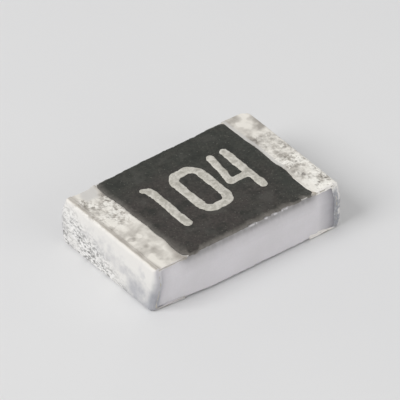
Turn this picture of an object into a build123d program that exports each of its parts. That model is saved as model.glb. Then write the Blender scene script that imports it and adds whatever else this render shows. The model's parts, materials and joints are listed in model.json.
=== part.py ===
from build123d import *
import math
import os

# Thick-film chip resistor, case 2012 metric (0805), in millimetres.
# X runs from terminal to terminal in the reading direction of the printed value,
# Y points to the top of the digits, Z is up. The chip stands on its two solder
# pads at Z = 0, centred on the origin.

# ---- ceramic substrate -------------------------------------------------------
ceramic_length = 1.93       # end face to end face, below the scribe bevel
ceramic_width = 1.262       # side to side, below the scribe bevel
ceramic_thickness = 0.405
scribe_side_setback = 0.038  # half of a scribe groove's mouth, lost from each long top edge
scribe_end_setback = 0.018  # the same for the finer grooves across the ends
scribe_depth = 0.12         # the substrate is snapped through below this depth
ceramic_corner = 0.035      # radius of the upright corners

# ---- inner electrodes, printed on the ceramic --------------------------------
top_electrode_thickness = 0.012
top_electrode_length = 0.42
bottom_electrode_thickness = 0.008
bottom_electrode_length = 0.30

# ---- edge electrode, the film that joins the top and bottom electrodes -------
edge_film_end = 0.025       # thickness over the ceramic's end face
edge_film_ridge = 0.010     # thickness where it wraps onto the top electrode
edge_film_foot = 0.005      # thickness under the bottom electrode
edge_film_wrap = 0.020      # how far from the end face it reaches round the ceramic's corners
edge_film_corner = 0.050    # radius of its own corners, seen from above
edge_wrap_top = 0.010       # reach over the top electrode
edge_wrap_bottom = 0.22     # reach under the bottom electrode
ridge_round = 0.010         # radius of its upper outer edge
foot_round = 0.035          # radius of its lower outer edge

# ---- plating -----------------------------------------------------------------
nickel_thickness = 0.004
tin_thickness = 0.006

# ---- resistive element -------------------------------------------------------
film_thickness = 0.008
film_width = 0.90
film_lap = 0.08             # how far the film lies on each top electrode
trim_kerf = 0.03            # width of the laser trim cut
trim_offset = 0.16          # trim cut from the middle of the film, towards -X
trim_depth = 0.42           # from the film's -Y edge inwards
trim_turn = 0.26            # length of the cut's second leg, towards +X

# ---- protective coats --------------------------------------------------------
overcoat_lap = 0.088        # past each end of the resistive film
overcoat_shift = 0.01       # print offset towards +X
overcoat_edge = 0.020       # height of the overcoat's upright edge
overcoat_height = 0.027     # top of the overcoat above the ceramic
overcoat_slope_end = 0.06   # width of the slope towards each terminal
overcoat_slope_side = 0.025  # width of the slope towards each long side
overcoat_side = 0.008       # thickness where it runs over the long edges
overcoat_run = 0.04         # how far it runs down the scribe bevel there
overcoat_corner = 0.035     # radius of its corners in plan

# ---- printed value -----------------------------------------------------------
ink_thickness = 0.005
digit_height = 0.605
digit_stroke = 0.085
digit_pitch = 0.368         # from digit to digit
marking_shift_x = -0.014    # middle digit from the middle of the overcoat
marking_shift_y = 0.015
one_flag_reach = 0.052      # how far the flag of the 1 stands out
one_flag_rise = 0.035       # how far the flag's tip lies above its root
one_flag_stroke = 0.052
zero_width = 0.366
zero_corner = 0.15          # outer corner radius of the 0
four_lean = 0.073           # how far the left stroke of the 4 leans
four_width = 0.20           # from the bend of the left stroke to the upright stroke
four_bar_height = 0.225     # crossbar above the foot of the 4
four_thin_stroke = 0.072    # its left stroke and crossbar

# ---- derived sizes and levels ------------------------------------------------
plating_thickness = nickel_thickness + tin_thickness
ceramic_bottom = bottom_electrode_thickness + edge_film_foot + plating_thickness
ceramic_top = ceramic_bottom + ceramic_thickness
scribe_level = ceramic_top - scribe_depth
electrode_top = ceramic_top + top_electrode_thickness
overall_width = ceramic_width + 2 * plating_thickness

top_length = ceramic_length - 2 * scribe_end_setback
top_width = ceramic_width - 2 * scribe_side_setback
element_length = top_length - 2 * top_electrode_length
film_length = element_length + 2 * film_lap
glass_length = element_length - 2 * film_thickness
overcoat_length = film_length + 2 * overcoat_lap
overcoat_top = ceramic_top + overcoat_height


def snapped_body(low, high, radius, past_end, past_side):
    """A body that follows the ceramic's snapped sides at a distance, from low to high."""
    wide = (ceramic_length + 2 * past_end, ceramic_width + 2 * past_side, radius)
    narrow = (top_length + 2 * past_end, top_width + 2 * past_side, radius)
    with BuildPart() as body:
        with BuildSketch(Plane.XY.offset(low)):
            RectangleRounded(*wide)
        extrude(amount=scribe_level - low)
        with BuildSketch(Plane.XY.offset(scribe_level)):
            RectangleRounded(*wide)
        with BuildSketch(Plane.XY.offset(ceramic_top)):
            RectangleRounded(*narrow)
        loft(ruled=True)
        if high > ceramic_top:
            with BuildSketch(Plane.XY.offset(ceramic_top)):
                RectangleRounded(*narrow)
            extrude(amount=high - ceramic_top)
    return body.part


def terminal_layer(side, grow, covered):
    """One layer of a terminal, grown from its conductors and hollowed by what it covers."""
    past_end = edge_film_end + grow
    end = ceramic_length / 2
    top_end = top_length / 2
    lip = ceramic_corner + grow if grow else edge_film_wrap
    reach = overcoat_length / 2 + side * overcoat_shift
    ridge = top_end - edge_wrap_top - grow
    foot = end - edge_wrap_bottom - grow
    pad = end - bottom_electrode_length - grow
    band_level = electrode_top + grow
    ridge_level = band_level + edge_film_ridge
    pad_level = ceramic_bottom - bottom_electrode_thickness - grow
    foot_level = pad_level - edge_film_foot
    outline = [
        (reach, ceramic_top - grow),
        (reach, band_level),
        (ridge, band_level),
        (ridge, ridge_level),
        (top_end + past_end, ridge_level),
        (top_end + past_end, ceramic_top),
        (end + past_end, scribe_level),
        (end + past_end, foot_level),
        (foot, foot_level),
        (foot, pad_level),
        (pad, pad_level),
        (pad, ceramic_bottom + grow),
        (end - lip, ceramic_bottom + grow),
        (end - lip, scribe_level),
        (top_end - lip, ceramic_top - grow),
    ]
    with BuildPart() as layer:
        with BuildSketch(Plane.XZ) as section:
            with BuildLine():
                Polyline(*[(side * x, z) for x, z in outline], close=True)
            make_face()
            level = section.vertices().group_by(Axis.Y)
            fillet(level[-1].sort_by(Axis.X)[-1 if side > 0 else 0], ridge_round + grow)
            level = section.vertices().group_by(Axis.Y)
            fillet(level[0].sort_by(Axis.X)[-1 if side > 0 else 0], foot_round + grow)
        extrude(amount=overall_width, both=True)
        add(snapped_body(foot_level, ridge_level, edge_film_corner + grow, past_end, grow), mode=Mode.INTERSECT)
        for inner in covered:
            add(inner, mode=Mode.SUBTRACT)
    return layer.part


# ---- ceramic substrate: the alumina body -------------------------------------
ceramic_body = snapped_body(ceramic_bottom, ceramic_top, ceramic_corner, 0, 0)
with BuildPart() as ceramic_substrate:
    add(ceramic_body)
ceramic_substrate.part.label = "ceramic_substrate"

# ---- resistive film: steps up onto both top electrodes, cut by the trim ------
half_film = film_length / 2
half_element = element_length / 2
half_glass = glass_length / 2
film_top = ceramic_top + film_thickness
step_top = electrode_top + film_thickness
film_half_outline = [
    (half_glass, film_top),
    (half_glass, step_top),
    (half_film, step_top),
    (half_film, electrode_top),
    (half_element, electrode_top),
    (half_element, ceramic_top),
]
film_outline = film_half_outline + [(-x, z) for x, z in reversed(film_half_outline)]

with BuildSketch(Plane.XY.offset(ceramic_top)) as trim_cut:
    first_leg = trim_depth + trim_kerf / 2
    with Locations((-trim_offset, -film_width / 2)):
        Rectangle(trim_kerf, first_leg, align=(Align.CENTER, Align.MIN))
    with Locations((-trim_offset - trim_kerf / 2, -film_width / 2 + trim_depth)):
        Rectangle(trim_turn + trim_kerf, trim_kerf, align=(Align.MIN, Align.CENTER))

with BuildPart() as resistive_film:
    with BuildSketch(Plane.XZ):
        with BuildLine():
            Polyline(*film_outline, close=True)
        make_face()
    extrude(amount=film_width / 2, both=True)
    extrude(trim_cut.sketch, amount=top_electrode_thickness, mode=Mode.SUBTRACT)
resistive_film.part.label = "resistive_film"

# ---- glass undercoat: seals the element, cut through with it by the trim -----
with BuildPart() as glass_undercoat:
    with BuildSketch(Plane.XY.offset(film_top)):
        Rectangle(glass_length, film_width)
    extrude(amount=electrode_top - film_top)
    extrude(trim_cut.sketch, amount=top_electrode_thickness, mode=Mode.SUBTRACT)
glass_undercoat.part.label = "glass_undercoat"

# ---- terminals: inner electrodes, edge electrode, nickel and tin -------------
terminal_parts = []
top_electrodes = []
for name, side in (("left", -1), ("right", 1)):
    outward = Align.MAX if side > 0 else Align.MIN

    with BuildPart() as top_electrode:
        with BuildSketch(Plane.XY.offset(ceramic_top)):
            RectangleRounded(top_length, top_width, ceramic_corner)
            with Locations((side * top_length / 2, 0)):
                Rectangle(top_electrode_length, top_width, align=(outward, Align.CENTER), mode=Mode.INTERSECT)
        extrude(amount=top_electrode_thickness)
    top_electrode.part.label = f"top_electrode_{name}"
    top_electrodes.append(top_electrode.part)

    with BuildPart() as bottom_electrode:
        with BuildSketch(Plane.XY.offset(ceramic_bottom - bottom_electrode_thickness)):
            RectangleRounded(ceramic_length, ceramic_width, ceramic_corner)
            with Locations((side * ceramic_length / 2, 0)):
                Rectangle(
                    bottom_electrode_length, ceramic_width, align=(outward, Align.CENTER), mode=Mode.INTERSECT
                )
        extrude(amount=bottom_electrode_thickness)
    bottom_electrode.part.label = f"bottom_electrode_{name}"

    # The edge film joins the inner electrodes over the end face. Each plating follows
    # what it covers and stands proud of the ceramic's sides in a narrow lip.
    covered = [ceramic_body, top_electrode.part, bottom_electrode.part]
    layers = (
        ("edge_electrode", 0),
        ("nickel_barrier", nickel_thickness),
        ("tin_plating", plating_thickness),
    )
    for material, grow in layers:
        layer = terminal_layer(side, grow, covered)
        layer.label = f"{material}_{name}"
        covered.append(layer)
    terminal_parts += covered[1:]

# ---- overcoat: the dark coat over the element, run over both long edges ------
edge_y = top_width / 2 + overcoat_side
run_y = edge_y + overcoat_run * scribe_side_setback / scribe_depth
top_y = edge_y - overcoat_slope_side
end_x = overcoat_length / 2
edge_z = ceramic_top + overcoat_edge
run_z = ceramic_top - overcoat_run
across = [(run_y, run_z), (edge_y, ceramic_top), (edge_y, edge_z), (top_y, overcoat_top)]
along = [(end_x, run_z), (end_x, edge_z), (end_x - overcoat_slope_end, overcoat_top)]

with BuildPart() as overcoat:
    with BuildSketch(Plane.XY.offset(run_z)):
        with Locations((overcoat_shift, 0)):
            RectangleRounded(overcoat_length, 2 * run_y, overcoat_corner)
    extrude(amount=overcoat_top - run_z)
    with BuildSketch(Plane.YZ.offset(overcoat_shift)):
        with BuildLine():
            Polyline(*across, *[(-y, z) for y, z in reversed(across)], close=True)
        make_face()
    extrude(amount=overcoat_length, both=True, mode=Mode.INTERSECT)
    with BuildSketch(Plane.XZ.shift_origin((overcoat_shift, 0, 0))):
        with BuildLine():
            Polyline(*along, *[(-x, z) for x, z in reversed(along)], close=True)
        make_face()
    extrude(amount=overall_width, both=True, mode=Mode.INTERSECT)
    for inner in (ceramic_body, resistive_film.part, glass_undercoat.part, *top_electrodes):
        add(inner, mode=Mode.SUBTRACT)
overcoat.part.label = "overcoat"


# ---- printed value: three digits of ink on the overcoat ----------------------
def stroke(start, end, width):
    """One round-ended pen stroke between two points of the digit being drawn."""
    run = Vector(*end) - Vector(*start)
    angle = math.degrees(math.atan2(run.Y, run.X))
    with Locations((Vector(*start) + Vector(*end)) / 2):
        SlotCenterToCenter(run.length, width, rotation=angle)


def digit_plane(place):
    """The plane of a digit on the overcoat, counted from the middle digit."""
    middle_x = overcoat_shift + marking_shift_x
    return Plane((middle_x + place * digit_pitch, marking_shift_y, overcoat_top))


pen_end = digit_height / 2 - digit_stroke / 2

with BuildPart() as digit_1:
    flag_end = digit_height / 2 - one_flag_stroke / 2
    with BuildSketch(digit_plane(-1)):
        stroke((0, -pen_end), (0, pen_end - one_flag_rise), digit_stroke)
        stroke((0, flag_end - one_flag_rise), (-one_flag_reach, flag_end), one_flag_stroke)
    extrude(amount=ink_thickness)
digit_1.part.label = "digit_1"

with BuildPart() as digit_0:
    with BuildSketch(digit_plane(0)):
        RectangleRounded(zero_width, digit_height, zero_corner)
        RectangleRounded(
            zero_width - 2 * digit_stroke,
            digit_height - 2 * digit_stroke,
            zero_corner - digit_stroke,
            mode=Mode.SUBTRACT,
        )
    extrude(amount=ink_thickness)
digit_0.part.label = "digit_0"

with BuildPart() as digit_4:
    upright = four_width / 2
    bar_level = four_bar_height - digit_height / 2
    thin_end = digit_height / 2 - four_thin_stroke / 2
    with BuildSketch(digit_plane(1)):
        stroke((upright, -pen_end), (upright, pen_end), digit_stroke)
        stroke((-upright + four_lean, thin_end), (-upright, bar_level), four_thin_stroke)
        stroke((-upright, bar_level), (upright, bar_level), four_thin_stroke)
    extrude(amount=ink_thickness)
digit_4.part.label = "digit_4"

# ---- write one STEP file per piece -------------------------------------------
pieces = [
    ceramic_substrate.part,
    resistive_film.part,
    glass_undercoat.part,
    overcoat.part,
    digit_1.part,
    digit_0.part,
    digit_4.part,
    *terminal_parts,
]
os.makedirs("parts", exist_ok=True)
for piece in pieces:
    export_step(piece, f"parts/{piece.label}.step")
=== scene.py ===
import bmesh
import bpy
import itertools
import json
import math
import numpy as np
from mathutils import Matrix, Vector
from types import SimpleNamespace


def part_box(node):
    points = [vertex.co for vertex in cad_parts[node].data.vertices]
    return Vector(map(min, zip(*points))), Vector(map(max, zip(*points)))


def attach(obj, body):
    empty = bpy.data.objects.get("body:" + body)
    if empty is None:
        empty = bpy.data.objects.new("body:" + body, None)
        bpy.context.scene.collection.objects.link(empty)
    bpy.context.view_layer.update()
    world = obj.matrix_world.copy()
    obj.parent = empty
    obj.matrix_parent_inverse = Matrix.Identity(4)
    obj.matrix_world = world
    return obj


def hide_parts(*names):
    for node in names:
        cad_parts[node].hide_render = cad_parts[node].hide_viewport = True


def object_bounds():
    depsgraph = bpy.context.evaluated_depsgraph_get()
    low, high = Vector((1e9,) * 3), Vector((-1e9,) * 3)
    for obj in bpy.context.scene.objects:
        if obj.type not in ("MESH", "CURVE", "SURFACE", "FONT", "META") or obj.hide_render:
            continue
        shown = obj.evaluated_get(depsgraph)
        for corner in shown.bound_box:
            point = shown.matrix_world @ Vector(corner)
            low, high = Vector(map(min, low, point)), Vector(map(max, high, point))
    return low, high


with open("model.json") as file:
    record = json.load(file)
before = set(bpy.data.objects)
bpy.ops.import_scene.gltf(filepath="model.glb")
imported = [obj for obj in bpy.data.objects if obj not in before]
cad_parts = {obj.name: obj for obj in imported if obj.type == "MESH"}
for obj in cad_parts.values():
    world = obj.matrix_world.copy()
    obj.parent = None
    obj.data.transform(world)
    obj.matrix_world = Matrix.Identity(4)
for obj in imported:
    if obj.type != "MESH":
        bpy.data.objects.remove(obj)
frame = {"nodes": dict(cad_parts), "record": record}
cad_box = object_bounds()

# Sizes are in millimetres, in the CAD frame, and become metres in make_mesh().
MM = 1e-3
scene = bpy.context.scene
scene.view_settings.view_transform = "Standard"


def node_box(name):
    low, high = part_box(name)
    return np.array(low) / MM, np.array(high) / MM


ceramic_low, ceramic_high = node_box("ceramic_substrate")
coat_low, coat_high = node_box("overcoat")
tin_low, tin_high = node_box("tin_plating_right")
nickel_low = node_box("nickel_barrier_right")[0]
electrode_low, electrode_high = node_box("top_electrode_right")
lowest, highest = np.array(cad_box[0]) / MM, np.array(cad_box[1]) / MM

TIN = nickel_low[2] - tin_low[2]  # thickness of the tin
PLATING = ceramic_low[1] - tin_low[1]  # nickel and tin, proud of the sides
CERAMIC_TOP = ceramic_high[2]
SCRIBE = CERAMIC_TOP - 0.12  # foot of the scribe bevel
SETBACK = ceramic_high[1] - electrode_high[1]  # of the bevel along the long sides
END_SETBACK = ceramic_high[0] - electrode_high[0]
BAND = electrode_high[2] + PLATING  # top of the plated band
RIDGE = tin_high[2]
RIDGE_RIGHT = BAND + 0.001  # the right terminal has hardly any ridge
TOP_END = tin_high[0] - END_SETBACK  # end of the ridge's level top
COAT_TOP = coat_high[2]

# ---- camera ----
# Fitted to the photo: 400 pixels across, at 120.019 pixels to the millimetre.
FRAME_WIDTH = 400 / 120.019 * MM
AZIMUTH = math.radians(-39.936)
ELEVATION = math.radians(38.892)
ROLL = math.radians(-1.76)
DISTANCE = 0.1  # far off, so that opposite edges stay parallel
AIM = Vector((0, 0, 0.22 * MM))
AIM_RIGHT = -0.0076 * MM
AIM_UP = 0.0961 * MM


def make_camera():
    level = math.cos(ELEVATION)
    back = Vector((math.sin(AZIMUTH) * level, -math.cos(AZIMUTH) * level, math.sin(ELEVATION)))
    level_right = Vector((math.cos(AZIMUTH), math.sin(AZIMUTH), 0))
    level_up = back.cross(level_right)
    right = level_right * math.cos(ROLL) - level_up * math.sin(ROLL)
    up = level_right * math.sin(ROLL) + level_up * math.cos(ROLL)
    data = bpy.data.cameras.new("camera")
    data.sensor_width = 36
    data.lens = data.sensor_width * DISTANCE / FRAME_WIDTH
    data.clip_start = 0.001
    data.clip_end = 1
    camera = bpy.data.objects.new("camera", data)
    place = AIM + right * AIM_RIGHT + up * AIM_UP + back * DISTANCE
    camera.matrix_world = Matrix.Translation(place) @ Matrix((right, up, back)).transposed().to_4x4()
    scene.collection.objects.link(camera)
    scene.camera = camera


make_camera()


# ---- noise ----
# Each use of noise() and facets() has a seed of its own, so the result is the same each run.
def ease(a, b, x):
    """0 where x is up to a and 1 from b on, with a smooth step between."""
    t = np.clip((x - a) / (b - a), 0, 1)
    return t * t * (3 - 2 * t)


def points_at(x, y, z):
    """A list of points from coordinates, each an array or one number for all."""
    return np.stack(np.broadcast_arrays(x, y, z), axis=-1).reshape(-1, 3)


def lattice(cell, seed):
    """A repeatable random number from 0 to 1 for each lattice point."""
    c = (cell.astype(np.int64) & 0xFFFFFFFF).astype(np.uint32)
    h = c[:, 0] * np.uint32(73856093) ^ c[:, 1] * np.uint32(19349663) ^ c[:, 2] * np.uint32(83492791)
    h = h ^ np.uint32(seed * 2654435761 % 2**32)
    for shift, factor in ((16, 0x7FEB352D), (15, 0x846CA68B)):
        h = (h ^ (h >> np.uint32(shift))) * np.uint32(factor)
    return (h ^ (h >> np.uint32(16))).astype(float) / 2**32


def noise(p, size, seed, octaves=1):
    """Smooth noise from -1 to 1 at points p, with features of the given size."""
    total, weight_sum = np.zeros(len(p)), 0
    for octave in range(octaves):
        q = p / size * 2**octave + 17.3 * octave
        cell = np.floor(q)
        f = q - cell
        w = f * f * f * (f * (f * 6 - 15) + 10)
        value = np.zeros(len(p))
        for corner in itertools.product((0, 1), repeat=3):
            d = np.array(corner)
            value += np.prod(np.where(d, w, 1 - w), axis=1) * lattice(cell + d, seed + octave)
        total += (value * 2 - 1) / 2**octave
        weight_sum += 1 / 2**octave
    return total / weight_sum


def facets(p, size, seed):
    """Crystal facets: each cell is a tilted plane at its own level. From about -1 to 1."""
    q = p / size
    cell = np.floor(q)
    nearest = np.full(len(p), 9.0)
    height = np.zeros(len(p))
    for step in itertools.product((-1, 0, 1), repeat=3):
        c = cell + np.array(step)
        seeds = np.stack([lattice(c, seed + k) for k in range(3)], axis=1)
        away = q - c - seeds
        distance = np.linalg.norm(away, axis=1)
        tilt = np.stack([lattice(c, seed + 3 + k) * 2 - 1 for k in range(3)], axis=1)
        plane = lattice(c, seed + 7) * 2 - 1 + 1.6 * np.sum(tilt * away, axis=1)
        closer = distance < nearest
        height = np.where(closer, plane, height)
        nearest = np.minimum(nearest, distance)
    return np.clip(height / 1.8, -1, 1)


# ---- meshes ----
# How far the lower front edge runs in at the left end, and how far the upper back edge stands out along x.
RUN_IN = 0.055
BULGE_X = [-1.0, -0.86, -0.76, -0.66, -0.5, -0.1, 0.6, 0.8, 0.92]
BULGE = [0, -0.018, -0.02, 0, 0.008, 0.018, 0.017, 0.01, 0]
# Radii of the back corners: the right one, the left one at its top, and what the left one gains at its foot.
RIGHT_RADIUS, LEFT_RADIUS, LEFT_RADIUS_GAIN = 0.1, 0.035, 0.06


def snapped(p):
    """The chip as it was snapped: not quite square, with its edges a little off their nominal lines."""
    x, y, z = p.T
    run_in = RUN_IN * ease(-0.3, -1.05, x) * ease(0.36, -0.02, z) * ease(0.15, 0.6, -y)
    # The scribe groove at the back is narrower than at the front, except at the left end.
    bulge = np.interp(x, BULGE_X, BULGE) * ease(0.3, 0.42, z) * ease(0.45, 0.6, y)
    radius = np.where(x > 0, RIGHT_RADIUS, LEFT_RADIUS + LEFT_RADIUS_GAIN * ease(0.26, 0.0, z))
    cx, cy = highest[0] - radius, highest[1] - radius
    ax, ay = np.maximum(np.abs(x) - cx, 0), np.maximum(y - cy, 0)
    share = np.maximum(ax, ay) / np.maximum(np.hypot(ax, ay), 1e-9)
    both = (ax > 0) & (ay > 0)
    x = np.where(both, np.sign(x) * (cx + ax * share), x)
    y = np.where(both, cy + ay * share, y)
    return np.stack([x, y + (run_in + bulge), z], axis=1)


def make_mesh(name, points, faces, material, replaces, masks=None, smooth=True):
    mesh = bpy.data.meshes.new(name)
    points = np.clip(snapped(points), lowest, highest)
    mesh.from_pydata((points * MM).tolist(), [], faces)
    for mask, values in (masks or {}).items():
        mesh.attributes.new(mask, "FLOAT", "POINT").data.foreach_set("value", values.astype(np.float32))
    mesh.polygons.foreach_set("use_smooth", [smooth] * len(mesh.polygons))
    mesh.validate()
    mesh.materials.append(material)
    piece = bpy.data.objects.new(name, mesh)
    scene.collection.objects.link(piece)
    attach(piece, "root")
    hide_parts(*replaces)
    return piece


def grid_normals(grid):
    """Unit normals of a grid of points, from its neighbours along both ways."""
    along_u = np.gradient(grid, axis=0)
    along_v = np.gradient(grid, axis=1)
    normal = np.cross(along_u, along_v)
    return normal / np.maximum(np.linalg.norm(normal, axis=2, keepdims=True), 1e-12)


def rounded_path(points, radii, steps):
    """Points along a polyline with rounded corners, and their places: 2.5 is half way from corner 2 to 3."""
    points = np.array(points, float)
    last = len(points) - 1
    path, place = [], []
    start = points[0]
    for k in range(last):
        a, b = points[k], points[k + 1]
        if k + 1 < last:
            into, out = a - b, points[k + 2] - b
            la, lb = np.linalg.norm(into), np.linalg.norm(out)
            angle = math.acos(np.clip(into @ out / la / lb, -1, 1))
            reach = min(radii[k + 1] / math.tan(angle / 2), 0.8 * la, 0.8 * lb)
            if reach <= 0.001:
                reach = 0
            stop, leave = b + into / la * reach, b + out / lb * reach
        else:
            stop = leave = b
        count = max(2, math.ceil(np.linalg.norm(stop - start) / steps[k]))
        for t in np.arange(count) / count:
            path.append(start + (stop - start) * t)
            place.append(k + (0.3 if k else 0) + t * (0.4 if 0 < k < last - 1 else 0.7))
        if k + 1 < last and reach:
            count = max(3, math.ceil(2 * reach / steps[k]))
            for t in np.arange(count) / count:
                path.append(stop * (1 - t) ** 2 + b * 2 * t * (1 - t) + leave * t**2)
                place.append(k + 0.7 + 0.6 * t)
        start = leave
    path.append(points[-1])
    place.append(last)
    return np.array(path), np.array(place)


def quads(rows, columns, offset=0, closed=False, flip=False):
    """Faces of a grid of rows by columns of points."""
    faces = []
    for i in range(rows - 1):
        for j in range(columns if closed else columns - 1):
            k = (j + 1) % columns
            face = [i * columns + j, i * columns + k, (i + 1) * columns + k, (i + 1) * columns + j]
            face = [offset + n for n in face]
            faces.append(face[::-1] if flip else face)
    return faces


# ---- materials ----
class Recipe:
    """A node material in the making."""

    def __init__(self, name):
        self.material = bpy.data.materials.new(name)
        self.material.use_nodes = True
        self.tree = self.material.node_tree
        self.shader = self.tree.nodes["Principled BSDF"]
        where = self.add("TexCoord").outputs["Object"]
        self.mm = self.add("VectorMath", {0: where, 1: (1000, 1000, 1000)}, operation="MULTIPLY")

    def add(self, kind, inputs=None, **settings):
        made = self.tree.nodes.new("ShaderNode" + kind)
        for key, value in settings.items():
            setattr(made, key, value)
        for key, value in (inputs or {}).items():
            self.put(made, key, value)
        return made

    def put(self, made, key, value):
        socket = made.inputs[key]
        if isinstance(value, bpy.types.Node):
            value = value.outputs[0]
        if isinstance(value, bpy.types.NodeSocket):
            self.tree.links.new(value, socket)
        else:
            socket.default_value = value

    def noise(self, scale, detail=3.0, roughness=0.5, distortion=0.0):
        """Noise with features of 1 / scale millimetres, from 0 to 1."""
        return self.add("TexNoise", {
            "Vector": self.mm, "Scale": scale, "Detail": detail,
            "Roughness": roughness, "Distortion": distortion,
        })

    def voronoi(self, scale):
        """Cells of 1 / scale millimetres."""
        return self.add("TexVoronoi", {"Vector": self.mm, "Scale": scale})

    def ramp(self, value, low, high, to_low=0.0, to_high=1.0):
        return self.add("MapRange", {
            "Value": value, "From Min": low, "From Max": high, "To Min": to_low, "To Max": to_high,
        }, interpolation_type="SMOOTHSTEP")

    def math(self, operation, a, b):
        return self.add("Math", {0: a, 1: b}, operation=operation)

    def mix(self, factor, a, b):
        made = self.add("Mix", data_type="RGBA")
        self.put(made, "Factor", factor)
        for socket, value in zip([s for s in made.inputs if s.type == "RGBA"], (a, b)):
            if isinstance(value, tuple):
                socket.default_value = (*value, 1)
            else:
                self.tree.links.new(value, socket)
        return [s for s in made.outputs if s.type == "RGBA"][0]

    def over(self, colour, mask, share, tint):
        """A tint laid over a colour, by a share of a mask."""
        return self.mix(self.math("MULTIPLY", mask, share), colour, tint)

    def attribute(self, name):
        return self.add("Attribute", attribute_name=name).outputs["Fac"]

    def tilt(self, cells, amount):
        """Tip the normal by a cell's own random direction: each crystal is a facet."""
        normal = self.add("NewGeometry").outputs["Normal"]
        random = self.add("VectorMath", {0: cells.outputs["Color"], 1: (0.5, 0.5, 0.5)}, operation="SUBTRACT")
        random = self.add("VectorMath", {0: random, "Scale": amount}, operation="SCALE")
        tipped = self.add("VectorMath", {0: normal, 1: random}, operation="ADD")
        return self.add("VectorMath", {0: tipped}, operation="NORMALIZE").outputs[0]

    def bump(self, height, distance, strength, normal=None):
        made = self.add("Bump", {"Height": height, "Distance": distance * MM, "Strength": strength})
        if normal:
            self.put(made, "Normal", normal)
        return made

    def finish(self, **sockets):
        for key, value in sockets.items():
            self.put(self.shader, key.replace("_", " "), value)
        return self.material


def tin_material():
    r = Recipe("matte_tin")
    crystal, face = r.attribute("crystal"), r.attribute("face")
    # Smooth plating is cream where it stands proud and grey-brown where it is thin. The end faces are cooler.
    fine = r.ramp(r.noise(24, 4, 0.65), 0.35, 0.65, -0.1, 0.1)
    level = r.math("ADD", r.attribute("tone"), fine)
    dull = r.mix(face, (0.42, 0.39, 0.35), (0.5, 0.5, 0.52))
    cream = r.mix(face, (0.87, 0.835, 0.77), (0.79, 0.776, 0.752))
    colour = r.mix(level, dull, cream)
    # Crystals: each facet has a level of its own, with finer grains over it. Facets are painted lighter the
    # higher they stand, as painted glints, and darker the lower, as painted shade; the lowest are painted
    # near black, as painted shade in the pits.
    small = r.voronoi(62)
    glint = r.add("SeparateColor", {0: small.outputs["Color"]}).outputs[1]
    sharp = r.math("ADD", r.attribute("facet"), r.ramp(glint, 0, 1, -0.3, 0.3))
    sharp = r.math("ADD", sharp, r.math("MULTIPLY", r.math("SUBTRACT", r.attribute("tone"), 0.85), 0.55))
    low = r.mix(face, (0.37, 0.34, 0.3), (0.3, 0.297, 0.293))
    high = r.mix(face, (0.955, 0.93, 0.87), (0.9, 0.89, 0.872))
    painted_facet_light = r.mix(r.ramp(sharp, -0.8, 0.5), low, high)
    painted_pit_shade = r.math("MULTIPLY", r.ramp(sharp, -0.62, -0.9, 0, 0.7), r.ramp(face, 0, 1, 1.0, 0.7))
    painted_facet_light = r.mix(painted_pit_shade, painted_facet_light, (0.17, 0.16, 0.15))
    colour = r.mix(crystal, colour, painted_facet_light)
    # Patches and painted light, one over the other: a grey patch, painted shade with resin bleed in the
    # groove, a painted tone on the ridge's edge for its highlight, painted highlights, pale lips, and painted
    # shade.
    for mask, tint in (
        ("grey", (0.63, 0.615, 0.595)), ("groove_shade_and_bleed", (0.36, 0.325, 0.29)), ("rim", (0.79, 0.765, 0.732)),
        ("painted_highlight", (0.93, 0.905, 0.868)), ("pale", (0.735, 0.715, 0.732)), ("shade", (0.33, 0.34, 0.375)),
    ):
        colour = r.mix(r.attribute(mask), colour, tint)
    rough = r.math("ADD", r.math("MULTIPLY", crystal, -0.14), r.ramp(r.attribute("rim"), 0, 1, 0.7, 0.8))
    metal = r.ramp(r.math("MAXIMUM", r.attribute("rim"), r.attribute("pale")), 0, 1, 0.22, 0.1)
    normal = r.tilt(small, r.math("MULTIPLY", crystal, 0.55))
    normal = r.bump(r.noise(95, 2, 0.6), 0.001, 0.5, normal)
    return r.finish(Base_Color=colour, Roughness=rough, Metallic=metal, Specular_IOR_Level=0.3, Normal=normal)


def coat_material():
    r = Recipe("overcoat_resin")
    # Brown-black at the near left corner and green-black at the far right one.
    where = r.add("SeparateXYZ", {0: r.mm}).outputs
    away = r.math("ADD", r.math("MULTIPLY", where[0], 0.6), r.math("MULTIPLY", where[1], 0.8))
    green = r.math("ADD", away, r.ramp(r.noise(2.6, 3, 0.5), 0.3, 0.7, -0.3, 0.3))
    colour = r.mix(r.ramp(green, -0.35, 0.35), (0.048, 0.04, 0.036), (0.033, 0.0365, 0.0298))
    cloud = r.ramp(r.noise(16, 4, 0.7), 0.35, 0.7)
    grain = r.ramp(r.noise(40, 2, 0.7), 0.42, 0.6)
    smudge = r.ramp(r.noise(7, 4, 0.7), 0.5, 0.66)
    haze = r.ramp(r.noise(4.5, 3, 0.6), 0.5, 0.68)
    speck = r.ramp(r.voronoi(30).outputs["Distance"], 0.2, 0.08)
    colour = r.over(colour, cloud, 0.5, (0.078, 0.074, 0.064))
    colour = r.over(colour, grain, 0.5, (0.018, 0.0175, 0.015))
    colour = r.over(colour, smudge, 0.7, (0.017, 0.0185, 0.015))
    colour = r.over(colour, haze, 0.55, (0.072, 0.07, 0.062))
    colour = r.over(colour, speck, 0.62, (0.145, 0.14, 0.122))
    # The resin is paler where it thins out at its border.
    edge = r.math("MULTIPLY", r.attribute("thin"), r.ramp(r.noise(30, 3), 0.2, 0.7, 0.6, 1.0))
    colour = r.mix(edge, colour, (0.245, 0.228, 0.205))
    rough = r.ramp(cloud, 0, 1, 0.5, 0.62)
    normal = r.bump(r.noise(60, 3, 0.6), 0.0014, 0.6)
    return r.finish(Base_Color=colour, Roughness=rough, Specular_IOR_Level=0.25, Normal=normal)


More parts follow.
